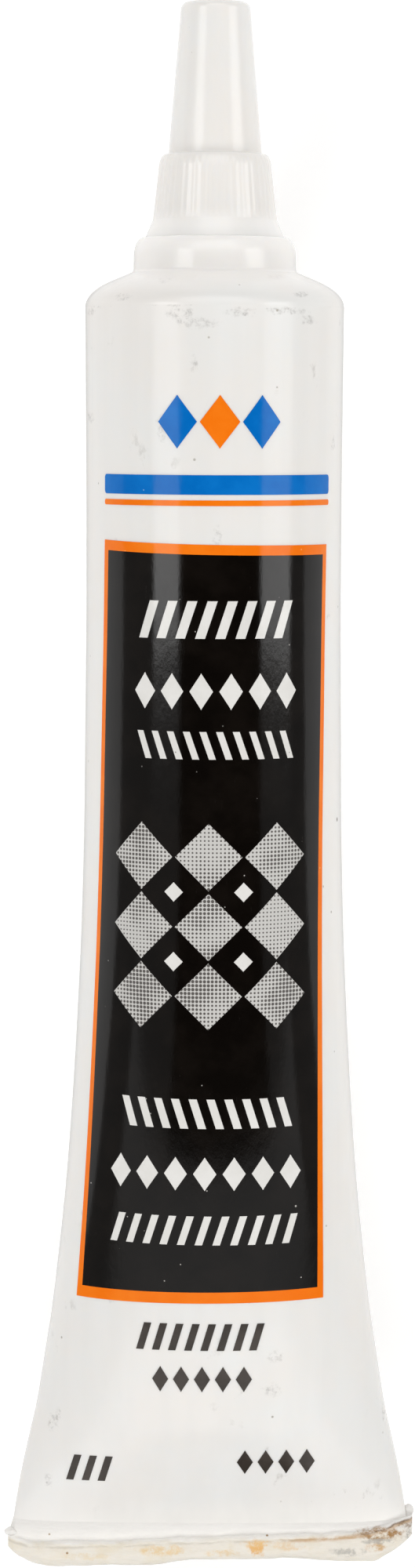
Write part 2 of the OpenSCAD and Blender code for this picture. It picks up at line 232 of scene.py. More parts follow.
# Nozzle
NOZZLE_FOOT_R = 2.1
NOZZLE_TIP_R = 1.3
NOZZLE_TIP_ROUND = 0.2
ORIFICE_R = 0.6
ORIFICE_ROUND = 0.08
ORIFICE_DEPTH = 1.5
NOZZLE_WALL = 0.55
PRESS_GAP = 0.05
FLANGE_HEIGHT = 0.5
FLANGE_ROUND = 0.15
FLANGE_CORNER = 0.25
WAY_R = NECK_BORE_R - NOZZLE_WALL
PRESSED_R = NECK_BORE_R - PRESS_GAP
FLANGE_TOP = NECK_TOP + FLANGE_HEIGHT

# The cap's heights along the tube, and the radius from which a wall is its outside
FLANGE_ROOM = 0.3
CONE_FOOT = CAP_FOOT + SKIRT_HEIGHT
BORE_TOP = CAP_TOP - CAP_ROOF
BORE_STEP = FLANGE_TOP + FLANGE_ROOM
MOUTH = COLLAR_TOP + MOUTH_GAP
SKIRT_OUTSIDE = CAP_BORE_R + 0.4

# Steps round bends, the most of a side that a rounded corner takes, the longest stretch of a
# turned profile, and the sides of its solid
BEND_STEPS = 16
QUARTER_STEPS = 12
CORNER_MOST = 0.49
HEAD_STRETCH, NOZZLE_STRETCH, CAP_STRETCH = 0.4, 0.5, 0.22
HEAD_SIDES, NOZZLE_SIDES = 240, 96

# Print. The panel's middle is shifted from the front's, at its top and at its foot
PANEL_WIDTH = 19.35
SHIFT_TOP = 0.25
SHIFT_FOOT = -1.05
TOP_BORDER = 0.72
FOOT_BORDER = 0.85
SIDE_BORDER = 0.5
# The panel is a little askew: how far its left corners stand out past level edges, and how far
# from the edges that begins
TOP_CORNER = 0.3
FOOT_CORNER = 0.2
CORNER_REACH = 6
# Where skins of ink begin and end above the sleeve, and half the width of a diamond's point
INK_LOW = 0.005
INK_HIGH = 0.03
OVERPRINT_LOW = 0.032
OVERPRINT_HIGH = 0.045
LEAST_HALF = 0.015


def smooth_table(table, x):
    """A smooth curve through a table's points, with slopes that don't overshoot."""
    xs = [row[0] for row in table]
    i = min(max(bisect_right(xs, x) - 1, 0), len(table) - 2)
    rise = [(b[1] - a[1]) / (b[0] - a[0]) for a, b in zip(table, table[1:])]

    def slope(k):
        if k in (0, len(table) - 1):
            return rise[0] if k == 0 else rise[-1]
        if rise[k - 1] * rise[k] <= 0:
            return 0.0
        return 2 * rise[k - 1] * rise[k] / (rise[k - 1] + rise[k])

    width = table[i + 1][0] - table[i][0]
    t = min(max((x - table[i][0]) / width, 0), 1)
    a, b = table[i][1], table[i + 1][1]
    return (
        a * (2 * t**3 - 3 * t**2 + 1)
        + b * (3 * t**2 - 2 * t**3)
        + slope(i) * width * (t**3 - 2 * t**2 + t)
        + slope(i + 1) * width * (t**3 - t**2)
    )


def smoothstep(low, high, x):
    """0 at low, 1 at high, smooth between."""
    t = min(max((x - low) / (high - low), 0), 1)
    return t * t * (3 - 2 * t)


def girth(a, b):
    """The way round an oval, by a close rule."""
    return math.pi * (3 * (a + b) - math.sqrt((3 * a + b) * (a + 3 * b)))


def half_height_for(a):
    """The half height that keeps the sleeve's girth at the half width a."""
    low, high = 0.0, 2 * SLEEVE_R
    for _ in range(HALVINGS):
        middle = (low + high) / 2
        if girth(a, middle) > 2 * math.pi * SLEEVE_R:
            high = middle
        else:
            low = middle
    return max(PRESSED_HALF, (low + high) / 2)


# Half height of the sleeve at the form's own places
HEIGHTS = [
    (share, half_height_for(SLEEVE_R + (math.pi * SLEEVE_R / 2 - SLEEVE_R) * pressed))
    for share, pressed in FORM
]


def sleeve_oval(s):
    """Half width and half height of the sleeve at s."""
    share = min(max((s - SEAL_TOP) / (SLEEVE_TOP - SEAL_TOP), 0), 1)
    width = SLEEVE_R + (FLAT_R - SLEEVE_R) * smooth_table(FORM, share)
    return min(width, FLAT_R), smooth_table(HEIGHTS, share)


def on_oval(a, b, s, angle, grow=0.0):
    """A point on the sleeve, whose back is flat in a narrow strip."""
    height = max((b + grow) * math.cos(angle), -(b + grow) * math.cos(BACK_STRIP_ANGLE))
    return (a + grow) * math.sin(angle), s, height


def world_at(point):
    """A place on the tube in the frame's metres."""
    x, s, h = point
    return Vector((x * MM, (TAIL_Y + s) * MM, (AXIS_Z + h) * MM))


def make_piece(name, points, faces, material, slot, body="tube", replaces=()):
    """A mesh piece from places on the tube, which rides on a body."""
    mesh = bpy.data.meshes.new(name)
    mesh.from_pydata([world_at(p) for p in points], [], faces)
    mesh.validate()
    mesh.polygons.foreach_set("use_smooth", [True] * len(mesh.polygons))
    mesh.set_sharp_from_angle(angle=SHARP)
    mesh.materials.append(material)
    mesh.update()
    piece = bpy.data.objects.new(name, mesh)
    bpy.context.scene.collection.objects.link(piece)
    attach(piece, body)
    if replaces:
        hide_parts(*replaces)


def loft(rings, is_loop=False, capped=True):
    """Points and faces through rings of as many points each, which turn right-handed about s."""
    n, count = len(rings[0]), len(rings)
    points = [p for ring in rings for p in ring]
    faces = []
    for i in range(count if is_loop else count - 1):
        here, after = i * n, (i + 1) % count * n
        for j in range(n):
            k = (j + 1) % n
            faces.append((here + j, here + k, after + k, after + j))
    if capped and not is_loop:
        faces.append(tuple(reversed(range(n))))
        faces.append(tuple(range((count - 1) * n, count * n)))
    return points, faces


def join(*parts):
    """Several point and face lists as one."""
    points, faces = [], []
    for part_points, part_faces in parts:
        base = len(points)
        points += part_points
        faces += [tuple(base + k for k in face) for face in part_faces]
    return points, faces


def rounded(corners, steps):
    """A profile of (s, r) points whose corners with a third number are rounded by that radius."""
    profile = []
    count = len(corners)
    for i, corner in enumerate(corners):
        radius = corner[2] if len(corner) > 2 else 0.0
        here = Vector(corner[:2])
        if not radius:
            profile.append(tuple(here))
            continue
        before = Vector(corners[i - 1][:2]) - here
        after = Vector(corners[(i + 1) % count][:2]) - here
        reach = radius / math.tan(before.angle(after) / 2)
        reach = min(reach, CORNER_MOST * before.length, CORNER_MOST * after.length)
        start, end = here + before.normalized() * reach, here + after.normalized() * reach
        for k in range(steps + 1):
            t = k / steps
            profile.append(tuple((1 - t) ** 2 * start + 2 * t * (1 - t) * here + t**2 * end))
    return profile


def bend(start, corner, end):
    """Points along a smooth bend that starts and ends in the direction of its corner."""
    a, b, c = Vector(start), Vector(corner), Vector(end)
    shares = [k / BEND_STEPS for k in range(BEND_STEPS + 1)]
    return [tuple((1 - t) ** 2 * a + 2 * t * (1 - t) * b + t**2 * c) for t in shares]


def quarter(s, r, ds, dr):
    """Points round a quarter of an ellipse with its centre at (s, r), from its side to its top."""
    turns = [math.pi / 2 * k / QUARTER_STEPS for k in range(QUARTER_STEPS + 1)]
    return [(s + ds * math.sin(turn), r + dr * math.cos(turn)) for turn in turns]


def finer(profile, longest):
    """The profile with more points along its long sides."""
    out = []
    for a, b in zip(profile, profile[1:] + profile[:1]):
        steps = max(1, math.ceil(math.dist(a, b) / longest))
        out += [tuple(p + (q - p) * k / steps for p, q in zip(a, b)) for k in range(steps)]
    return out


def revolve(profile, segments, shape=None):
    """A closed profile of (s, r) points turned about the tube's axis. shape(s, r, angle) gives
    another radius."""
    rings = []
    for k in range(segments):
        angle = 2 * math.pi * k / segments
        ring = []
        for s, r in profile:
            radius = shape(s, r, angle) if shape else r
            ring.append((radius * math.sin(angle), s, radius * math.cos(angle)))
        rings.append(ring)
    return loft(rings, is_loop=True)


def thread(r, depth, from_s, turns):
    """A thread's ridge on the wall at radius r, standing out by depth, or inwards if negative."""
    rings = []
    steps = round(turns * RIDGE_STEPS)
    for i in range(steps + 1):
        turn = turns * i / steps
        fade = min(1, RIDGE_END + RIDGE_GAIN * min(turn, turns - turn))
        rise, angle = from_s + turn * THREAD_PITCH, 2 * math.pi * turn
        ring = []
        for step, share in RIDGE:
            radius = r + depth * (share * fade if share > 0 else share)
            ring.append((radius * math.cos(angle), rise + step, -radius * math.sin(angle)))
        rings.append(ring if depth < 0 else ring[::-1])
    return loft(rings)


# Node helpers

# Where a ragged spot ends and where it is full, as shares of its half sizes
SPOT_END = 1.15
SPOT_FULL = 0.55
ROUGHNESS_RANGE = 0.08
WHITE = (1.0, 1.0, 1.0, 1.0)


class Material:
    """A node material with a principled shader, and short calls for its nodes."""

    def __init__(self, name, **constants):
        self.material = bpy.data.materials.new(name)
        self.material.use_nodes = True
        self.tree = self.material.node_tree
        self.shader = self.tree.nodes["Principled BSDF"]
        for socket, value in constants.items():
            self.shader.inputs[socket.replace("_", " ")].default_value = value
        metres = self.node("ShaderNodeTexCoord").outputs["Object"]
        self.place = self.node(
            "ShaderNodeVectorMath", operation="SCALE", Vector=metres, Scale=1 / MM
        )

    def node(self, kind, operation=None, **inputs):
        node = self.tree.nodes.new(kind)
        if operation:
            node.operation = operation
        for name, value in inputs.items():
            socket = node.inputs[int(name[1:]) if name[0] == "_" else name.replace("_", " ")]
            self.feed(value, socket)
        return node

    def feed(self, value, socket):
        if isinstance(value, bpy.types.Node):
            value = value.outputs[0]
        if isinstance(value, bpy.types.NodeSocket):
            self.tree.links.new(value, socket)
        else:
            socket.default_value = value

    def math(self, operation, a, b=0.0, clamp=False):
        node = self.node("ShaderNodeMath", operation=operation, _0=a, _1=b)
        node.use_clamp = clamp
        return node

    def times(self, a, b):
        return self.math("MULTIPLY", a, b)

    def scaled(self, value, factor, offset):
        """value times factor, plus offset."""
        return self.node("ShaderNodeMath", operation="MULTIPLY_ADD", _0=value, _1=factor, _2=offset)

    def axes(self):
        """The place in three sockets, X, Y and Z."""
        return self.node("ShaderNodeSeparateXYZ", Vector=self.place).outputs

    def noise(self, scale, detail=3.0, roughness=0.5, stretch=(1, 1, 1), shift=(0, 0, 0)):
        place = self.node("ShaderNodeMapping", Vector=self.place, Scale=stretch, Location=shift)
        return self.node(
            "ShaderNodeTexNoise", Vector=place, Scale=scale, Detail=detail, Roughness=roughness
        )

    def window(self, value, low, high):
        """0 below low, 1 above high, smooth between."""
        node = self.node("ShaderNodeMapRange", Value=value, From_Min=low, From_Max=high)
        node.interpolation_type = "SMOOTHSTEP"
        return node

    def patches(self, low, high, *noise_values, **noise_options):
        """Random patches: 0 where the noise is under low, 1 where it is over high."""
        return self.window(self.noise(*noise_values, **noise_options), low, high)

    def spot(self, x, s, rx, rs, ragged, grain):
        """1 inside a ragged patch round a place on the tube, fading to 0 outside it."""
        kind, centre = "ShaderNodeVectorMath", (x, TAIL_Y + s, 0)
        flat = self.node(kind, operation="SUBTRACT", _0=self.place, _1=centre)
        flat = self.node(kind, operation="MULTIPLY", _0=flat, _1=(1 / rx, 1 / rs, 0))
        size = self.node(kind, operation="LENGTH", _0=flat).outputs["Value"]
        edge = self.scaled(self.noise(grain, 5, 0.65), 2 * ragged, -ragged)
        return self.window(self.math("ADD", size, edge), SPOT_END, SPOT_FULL)

    def paint(self, base, colour, share, strength=None):
        """base with the colour laid over it by a share from 0 to 1, times the strength if any."""
        if strength is not None:
            share = self.times(share, strength)
        mix = self.tree.nodes.new("ShaderNodeMix")
        mix.data_type = "RGBA"
        self.feed(share, mix.inputs[0])
        self.feed(base, mix.inputs[6])
        self.feed(colour, mix.inputs[7])
        return mix.outputs[2]

    def colour(self, value):
        self.feed(value, self.shader.inputs["Base Color"])

    def rough(self, middle, scale, detail, roughness):
        """Roughness that varies a little round its middle."""
        uneven = self.noise(scale, detail, roughness)
        value = self.scaled(uneven, ROUGHNESS_RANGE, middle - ROUGHNESS_RANGE / 2)
        self.feed(value, self.shader.inputs["Roughness"])

    def bump(self, height, depth):
        node = self.node("ShaderNodeBump", Height=height, Strength=1.0, Distance=depth * MM)
        self.feed(node, self.shader.inputs["Normal"])

    def glow(self, strength):
        """White light of its own."""
        self.feed(WHITE, self.shader.inputs["Emission Color"])
        self.feed(strength, self.shader.inputs["Emission Strength"])


def srgb(r, g, b):
    """A colour as seen on a screen, from 0 to 255, in the renderer's own units."""
    def line(c):
        c /= 255
        return c / 12.92 if c <= 0.04045 else ((c + 0.055) / 1.055) ** 2.4
    return line(r), line(g), line(b), 1.0


PLASTIC = dict(
    Subsurface_Weight=0.3, Subsurface_Scale=0.6 * MM, Subsurface_Radius=(1.0, 0.9, 0.75), IOR=1.5
)
# How far from a hidden joint the light that enters the plastic is held back
JOINT_NEAR = 0.3
JOINT_FAR = 2.5
GREY_DUST = srgb(142, 138, 133)
SMUDGE_STRENGTH = 0.6
# A speck's full part, as a share of its size, and the cells' tones between which it comes in
SPECK_CORE = 0.4
SPECK_CHOICE = (0.62, 0.66)


def plastic(name, roughness, gloss):
    """Moulded white polyethylene: faint warm and cool clouds and a soft, slightly uneven gloss."""
    m = Material(name, Specular_IOR_Level=gloss, **PLASTIC)
    clouds = m.patches(0.35, 0.65, 0.12, 4, 0.55)
    base = m.paint(srgb(238, 234, 229), srgb(236, 235, 232), clouds)
    cool = m.patches(0.45, 0.75, 0.45, 3, 0.5, shift=(7, 3, 1))
    base = m.paint(base, srgb(238, 235, 231), cool)
    m.rough(roughness, 1.6, 4, 0.6)
    return m, base


def joined_at(m, *places):
    """Keeps light from leaking out of the hidden joints at these heights between two pieces of
    one plastic."""
    along = m.axes()["Y"]
    weight = PLASTIC["Subsurface_Weight"]
    for s in places:
        away = m.math("ABSOLUTE", m.math("SUBTRACT", along, TAIL_Y + s))
        weight = m.times(m.window(away, JOINT_NEAR, JOINT_FAR), weight)
    m.feed(weight, m.shader.inputs["Subsurface Weight"])


def smudged(m, base, smudges):
    """Smudges of graphite dust: fine clustered grey grains within ragged spots."""
    for smudge in smudges:
        share = m.times(m.spot(*smudge, ragged=0.9, grain=2.5), SMUDGE_STRENGTH)
        grains = m.patches(0.42, 0.72, 2.2, 6, 0.75, shift=(2, 5, 3))
        base = m.paint(base, GREY_DUST, m.math("MULTIPLY", grains, share, clamp=True))
    return base


def specked(m, base, scale, size, colour, shift=(0, 0, 0)):
    """Lone specks, one in some of the cells of a grid of points."""
    place = m.node("ShaderNodeMapping", Vector=m.place, Location=shift)
    cells = m.node("ShaderNodeTexVoronoi", Vector=place, Scale=scale, Randomness=1.0)
    specks = m.window(cells.outputs["Distance"], size, SPECK_CORE * size)
    chosen = m.window(cells.outputs["Color"], *SPECK_CHOICE)
    return m.paint(base, colour, m.math("MULTIPLY", specks, chosen, clamp=True))


# Materials

TAIL_WHITE = srgb(243, 240, 235)
# Smudges of graphite dust: place, then half their width and height
SLEEVE_SMUDGES = [
    (-8.3, 95.0, 0.9, 0.35), (-9.0, 94.4, 0.4, 0.3), (-4.2, 95.0, 0.7, 0.25),
    (-2.6, 94.9, 1.2, 0.3), (-2.4, 94.2, 1.1, 0.45), (-1.2, 93.5, 1.5, 0.45),
    (1.9, 94.3, 1.1, 0.35), (5.2, 94.4, 1.5, 0.3), (6.6, 93.8, 0.7, 0.35), (8.2, 95.0, 0.5, 0.3),
    (-1.5, 90.6, 0.3, 0.7), (-3.8, 86.0, 0.45, 1.0), (-7.1, 77.6, 0.2, 0.5), (0.2, 78.4, 0.4, 0.7),
    (-9.0, 86.8, 0.3, 0.4), (8.6, 85.0, 0.2, 0.7), (4.8, 17.6, 0.6, 0.5), (4.6, 15.0, 0.7, 0.6),
    (-11.4, 12.4, 0.25, 0.5), (-11.8, 11.6, 0.4, 0.7), (13.0, 12.4, 0.2, 0.7),
    (12.9, 5.7, 0.2, 0.2), (-12.2, 7.0, 0.3, 0.6),
]
HEAD_SMUDGES = [
    (-6.6, 95.4, 0.6, 0.3), (6.2, 95.6, 0.6, 0.25), (-3.6, 96.6, 0.5, 0.25),
    (4.4, 96.9, 0.6, 0.2),
]

sleeve_m, base = plastic("sleeve_plastic", 0.15, 0.16)
joined_at(sleeve_m, SEAL_TOP, SLEEVE_TOP)
base = smudged(sleeve_m, base, SLEEVE_SMUDGES)
base = specked(sleeve_m, base, 0.55, 0.07, srgb(176, 170, 160))
base = specked(sleeve_m, base, 0.2, 0.045, srgb(120, 112, 104), shift=(3, 1, 2))
# Painted light: the sleeve is painted whiter towards the tail, lifting the shade on its sloping end there
tail_painted_light = sleeve_m.spot(3.5, 2.5, 17, 3.4, ragged=0.15, grain=0.3)
base = sleeve_m.paint(base, TAIL_WHITE, tail_painted_light)
drawn = sleeve_m.patches(0.35, 0.65, 0.5, 3, 0.5, stretch=(1, 0.03, 1), shift=(2, 1, 6))
base = sleeve_m.paint(base, srgb(230, 228, 224), drawn, 0.3)
scuffs = sleeve_m.patches(0.6, 0.72, 0.7, 5, 0.65, stretch=(1, 0.6, 1), shift=(4, 8, 2))
rubbed = sleeve_m.patches(0.54, 0.66, 0.14, 2, 0.5, shift=(1, 5, 9))
base = sleeve_m.paint(base, srgb(176, 171, 164), sleeve_m.times(scuffs, rubbed), 0.45)
sleeve_m.colour(base)
scratches = sleeve_m.noise(0.6, 2, 0.5, stretch=(1.6, 0.04, 1.6))
sleeve_m.bump(sleeve_m.scaled(sleeve_m.noise(0.2, 2), 4.0, scratches), 0.006)

head_m, base = plastic("head_plastic", 0.14, 0.32)
joined_at(head_m, SLEEVE_TOP)
base = smudged(head_m, base, HEAD_SMUDGES)
base = specked(head_m, base, 0.5, 0.06, srgb(170, 165, 156))
# Painted light: whiter from the shoulder's foot, where it matches the sleeve, to the collar, lifting the shade
# that the cap and shoulder cast there
head_y = head_m.axes()["Y"]
collar_painted_light = head_m.window(head_y, TAIL_Y + SLEEVE_TOP + 0.5, TAIL_Y + COLLAR_FOOT + 0.5)
head_m.colour(head_m.paint(base, srgb(250, 246, 242), collar_painted_light))
head_m.bump(head_m.noise(0.5, 4, 0.55), 0.03)

cap_m, base = plastic("cap_plastic", 0.22, 0.44)
base = specked(cap_m, base, 0.6, 0.05, srgb(206, 200, 192))
# Painted light: the cap's flared lip, which faces away from the lights, is painted whiter than its skirt
lip_painted_light = cap_m.window(cap_m.axes()["Y"], TAIL_Y + CAP_FOOT + 2.1, TAIL_Y + CAP_FOOT + 0.5)
cap_m.colour(cap_m.paint(base, srgb(248, 245, 241), lip_painted_light))
cap_m.bump(cap_m.noise(0.55, 4, 0.6, stretch=(1, 0.6, 1)), 0.02)

powder_m = Material("graphite", Metallic=0.5, Roughness=0.5)
# Painted glints: the shiny grains are painted a lighter grey
grains = powder_m.noise(3.5, 8, 0.8)
shiny_glints = powder_m.window(grains, 0.4, 0.7)
powder_m.colour(powder_m.paint(srgb(46, 46, 48), srgb(104, 104, 108), shiny_glints))
powder_m.bump(grains, 0.15)


def ink(name, dark, light, pinhole, gloss=0.3, wear=None):
    """Glossy printed ink with a slightly uneven tone, fine surface grain and a few pinholes."""
    m = Material(name, IOR=1.5, Specular_IOR_Level=gloss)
    colour = m.paint(dark, light, m.patches(0.35, 0.7, 0.35, 4, 0.6, shift=(1, 2, 3)))
    colour = specked(m, colour, 0.9, 0.06, pinhole)
    colour = specked(m, colour, 0.33, 0.035, pinhole, shift=(5, 2, 4))
    if wear:
        worn = m.patches(0.66, 0.8, 1.1, 7, 0.72, stretch=(5, 0.5, 5))
        colour = m.paint(colour, pinhole, worn, wear)
    m.colour(colour)
    m.rough(0.1, 2.5, 5, 0.7)
    m.bump(m.noise(1.4, 5, 0.7, stretch=(1, 0.4, 1)), 0.008)
    return m


black_m = ink("black_ink", srgb(11, 8, 6), srgb(19, 15, 12), srgb(190, 186, 180), wear=0.1)
orange_m = ink(
    "orange_ink", srgb(246, 118, 14), srgb(250, 128, 26), srgb(252, 190, 130), gloss=0.15
)
blue_m = ink("blue_ink", srgb(4, 106, 190), srgb(12, 116, 200), srgb(150, 190, 226), gloss=0.12)
white_m = ink("white_ink", srgb(226, 224, 219), srgb(233, 231, 227), srgb(120, 116, 112))
grey_m = ink("grey_ink", srgb(54, 48, 43), srgb(68, 61, 56), srgb(190, 184, 176), gloss=0.12)

# Halftone dots on a square grid round the sleeve, larger where the picture is darker
DOT_SCALE = 3.4
DOT_LEAST = 0.22
DOT_GAIN = 0.2
DOT_EDGE = 0.06
picture_m = Material("halftone_ink", IOR=1.5, Roughness=0.3, Specular_IOR_Level=0.2)
picture_axes = picture_m.axes()
over_axis = picture_m.math("SUBTRACT", picture_axes["Z"], AXIS_Z)
turned = picture_m.math("ARCTAN2", picture_axes["X"], over_axis)
flat_place = picture_m.node(
    "ShaderNodeCombineXYZ", X=picture_m.times(turned, SLEEVE_R), Y=picture_axes["Y"]
)
dots = picture_m.node("ShaderNodeTexVoronoi", Vector=flat_place, Scale=DOT_SCALE, Randomness=0.0)
dots.voronoi_dimensions = "2D"
tones = picture_m.patches(0.35, 0.65, 0.22, 2, 0.5, shift=(4, 1, 0))
dot_reach = picture_m.scaled(tones, DOT_GAIN, DOT_LEAST)
inside_dot = picture_m.math("SUBTRACT", dot_reach, dots.outputs["Distance"])
is_dot = picture_m.window(inside_dot, -DOT_EDGE, DOT_EDGE)
picture_m.colour(picture_m.paint(srgb(205, 203, 199), srgb(92, 88, 85), is_dot))

# Sleeve


def sleeve_rings(inset):
    """Rings along the sleeve, which lie inside it by the inset."""
    rings = []
    for i in range(RINGS + 1):
        s = SEAL_TOP + (SLEEVE_TOP - SEAL_TOP) * i / RINGS
        a, b = sleeve_oval(s)
        b = max(b - inset, BORE_LEAST_HALF)
        rings.append([on_oval(a - inset, b, s, 2 * math.pi * k / SIDES) for k in range(SIDES)])
    return rings


make_piece(
    "sleeve_wall", *loft(sleeve_rings(0) + sleeve_rings(WALL)[::-1], is_loop=True),
    sleeve_m.material, "sleeve", replaces=["tube_sleeve"],
)

# Melted tail

LIP_SCALE = 5.0
LIP_WANDER = 0.5
# Stains of the melted plastic: place, then half their width and height, colour and strength
TAIL_STAINS = [
    ((3.5, 1.75, 0.7, 0.75), srgb(231, 182, 112), 0.95),
    ((3.4, 2.1, 1.2, 0.3), srgb(234, 196, 136), 0.8),
    ((0.9, 1.3, 1.3, 0.35), srgb(230, 198, 142), 0.6),
    ((6.2, 1.9, 1.6, 0.4), srgb(230, 198, 150), 0.6),
    ((-3.6, 1.5, 1.9, 0.5), srgb(233, 200, 140), 0.7),
    ((-9.5, 1.0, 2.0, 0.3), srgb(230, 210, 172), 0.5),
    ((12.9, 2.8, 2.0, 0.55), srgb(166, 126, 76), 1.0),
    ((14.7, 3.5, 0.9, 0.35), srgb(150, 126, 100), 0.9),
    ((12.5, 1.8, 0.8, 0.4), srgb(206, 168, 118), 0.9),
    ((10.4, 1.4, 1.5, 0.4), srgb(182, 178, 170), 0.8),
    ((12.8, 2.2, 1.6, 0.25), srgb(182, 177, 169), 0.8),
    ((15.1, 2.6, 0.4, 0.45), srgb(120, 112, 104), 0.9),
]

tail_m = Material("melted_plastic", Roughness=0.2, Specular_IOR_Level=0.25, **PLASTIC)
joined_at(tail_m, SEAL_TOP)
tail_axes = tail_m.axes()
across = tail_m.math("ADD", tail_m.math("DIVIDE", tail_axes["X"], 2 * SEAL_R), 0.5)
lip_curve = tail_m.node("ShaderNodeFloatCurve", Value=across)
curve_points = lip_curve.mapping.curves[0].points
for _ in LIP_LINE[2:]:
    curve_points.new(0.5, 0.5)
for point, (x, s) in zip(curve_points, LIP_LINE):
    point.location = (x / (2 * SEAL_R) + 0.5, s / LIP_SCALE)
lip_curve.mapping.update()
lip_at = tail_m.times(lip_curve, LIP_SCALE)
s_here = tail_m.math("SUBTRACT", tail_axes["Y"], TAIL_Y)
wander = tail_m.scaled(tail_m.noise(0.6, 4, 0.6), LIP_WANDER, -LIP_WANDER / 2)
over_lip = tail_m.math("ADD", tail_m.math("SUBTRACT", s_here, lip_at), wander)


def lip_band(low, high, soft):
    """1 between two heights over the lip line, with soft edges."""
    rise = tail_m.window(over_lip, low - soft, low + soft)
    fall = tail_m.window(over_lip, high + soft, high - soft)
    return tail_m.times(rise, fall)


def across_from(low, high):
    """0 to the left of x = low, 1 to the right of x = high."""
    return tail_m.window(tail_axes["X"], low, high)


base = tail_m.paint(
    srgb(237, 231, 220), srgb(234, 225, 207), tail_m.patches(0.45, 0.7, 0.45, 5, 0.6)
)
streaks = tail_m.patches(0.5, 0.72, 0.7, 6, 0.65, stretch=(0.35, 1.4, 1), shift=(3, 2, 1))
base = tail_m.paint(base, srgb(222, 214, 198), streaks, 0.5)
base = tail_m.paint(base, TAIL_WHITE, tail_m.window(over_lip, -0.2, 0.05))
# Painted shade: the flat of the tail catches more light than the sloping sleeve, so it is painted greyer towards
# the sleeve
web_painted_shade = tail_m.window(s_here, SEAL_TOP - 1.1, SEAL_TOP + 0.1)
base = tail_m.paint(base, srgb(233, 230, 226), web_painted_shade)
# Painted shade in the crease under the lip, and a rusty brown stain there towards the right end
broken = tail_m.patches(0.36, 0.62, 0.8, 6, 0.7, stretch=(0.5, 1, 1), shift=(9, 4, 2))
crease_shade = tail_m.times(lip_band(-0.42, -0.24, 0.08), broken)
base = tail_m.paint(base, srgb(196, 188, 174), crease_shade, 0.5)
rust = tail_m.times(tail_m.times(lip_band(-0.5, -0.2, 0.12), across_from(2, 8)), broken)
base = tail_m.paint(base, srgb(196, 152, 98), rust, 0.7)
mottle = tail_m.patches(0.38, 0.6, 1.6, 6, 0.75, shift=(5, 1, 8))
for stain, stain_colour, strength in TAIL_STAINS:
    stained = tail_m.times(tail_m.spot(*stain, ragged=0.8, grain=2.5), mottle)
    base = tail_m.paint(base, stain_colour, stained, strength)
# Painted shade: a dark line under the lip's edge where it overhangs the stained right end
overhang_shade = tail_m.times(lip_band(-0.3, -0.16, 0.07), across_from(11.2, 12))
base = tail_m.paint(base, srgb(104, 80, 60), tail_m.times(overhang_shade, broken), 0.8)
tail_m.colour(specked(tail_m, base, 0.7, 0.09, srgb(168, 140, 104)))
tail_m.bump(tail_m.noise(0.8, 6, 0.62, stretch=(0.5, 1.5, 1)), 0.2)


def ripple(x, s, scale, seed):
    """Waves of a few sizes, about as often up as down."""
    return noise.fractal(Vector((x * scale, s * scale, seed)), 0.9, 2.0, 3)


def tail_ring(share, half, web):
    """One ring round the tail. share runs from the lip, 0, to the lower edge, 1; web is how far
    above the lip a ring lies, as a share of the way up to the sleeve."""
    ring = []
    reach = (SEAL_R - BEAD_END_ROOM) * (1 - web) + (FLAT_R - WEB_ROOM) * web
    web_top = SEAL_TOP + WEB_OVERLAP
    for k in range(TAIL_SIDES):
        angle = 2 * math.pi * k / TAIL_SIDES
        side, front = math.sin(angle), math.cos(angle)
        x = reach * math.copysign(abs(side) ** END_CROWDING, side)
        lip, edge = smooth_table(LIP_LINE, x), smooth_table(LOWER_EDGE, x)
        lip += LIP_RIPPLE * ripple(x, 3, 0.5, 1) * (1 - web)
        edge = max(0.0, edge + EDGE_RIPPLE * ripple(x, 0, 0.3, 5))
        s = lip + (edge - lip) * share + max(0.0, web_top - lip) * web
        middle = (1 - web) * (1 - share) * 4 * share
        s += BEAD_RIPPLE * ripple(x, 4 * share, 0.9, 2) * middle
        swell = 1 + (SWELL * ripple(x, 3 * share, 0.5, 9) - SWELL_LESS) * (1 - web)
        out = abs(x / (reach + 0.01))
        blunt = max(0.0, 1 - out**BLUNT_POWER) ** BLUNT_ROOT
        oval = max(0.0, 1 - out**OVAL_POWER) ** OVAL_ROOT
        section = blunt + (oval - blunt) * smoothstep(BLUNT_UP_TO, 1, web)
        height = half * min(swell, BACK_MOST if front < 0 else FRONT_MOST) * section
        side_turn = min(1.0, abs(front) * SIDE_STEEPNESS) ** SIDE_ROOT
        h = height * math.copysign(side_turn, front)
        ring.append((x, s, h))
    return ring


def zipped(first, is_foot):
    """Faces that close a flat ring of the tail by joining its front to its back."""
    faces, half = [], TAIL_SIDES // 2
    for k in range(-half // 2, half // 2):
        face = [k % TAIL_SIDES, half - k, half - k - 1, (k + 1) % TAIL_SIDES]
        face = [first + index for index in face]
        faces.append(face if is_foot else face[::-1])
    return faces


def bead():
    """The bead and its web, closed at both ends."""
    rings = [tail_ring(0, half, web) for web, half in WEB_FORM]
    rings += [tail_ring(share, BEAD_HALF * part, 0) for share, part in BEAD_FORM]
    points, faces = loft(rings[::-1], capped=False)
    faces += zipped(0, True) + zipped(TAIL_SIDES * (len(rings) - 1), False)
    return points, faces


def lump(place, half_sizes, seed):
    """A small uneven lump of melted plastic."""
    (x, s, h), (rx, rs, rh) = place, half_sizes
    rings = []
    for i in range(1, LUMP_STEPS):
        tilt = math.pi * i / LUMP_STEPS
        ring = []
        for k in range(2 * LUMP_STEPS):
            turn = math.pi * k / LUMP_STEPS
            uneven = noise.noise(Vector((math.sin(turn), math.cos(turn) + seed, tilt)))
            out = 1 + LUMP_UNEVENNESS * uneven
            ring.append((
                x + rx * out * math.sin(tilt) * math.sin(turn),
                s - rs * out * math.cos(tilt),
                h + rh * out * math.sin(tilt) * math.cos(turn),
            ))
        rings.append(ring)
    return loft(rings)


make_piece(
    "tail_bead", *join(bead(), *(lump(*values) for values in BEAD_LUMPS)),
    tail_m.material, "melted_tail", replaces=["end_seal"],
)

# Head

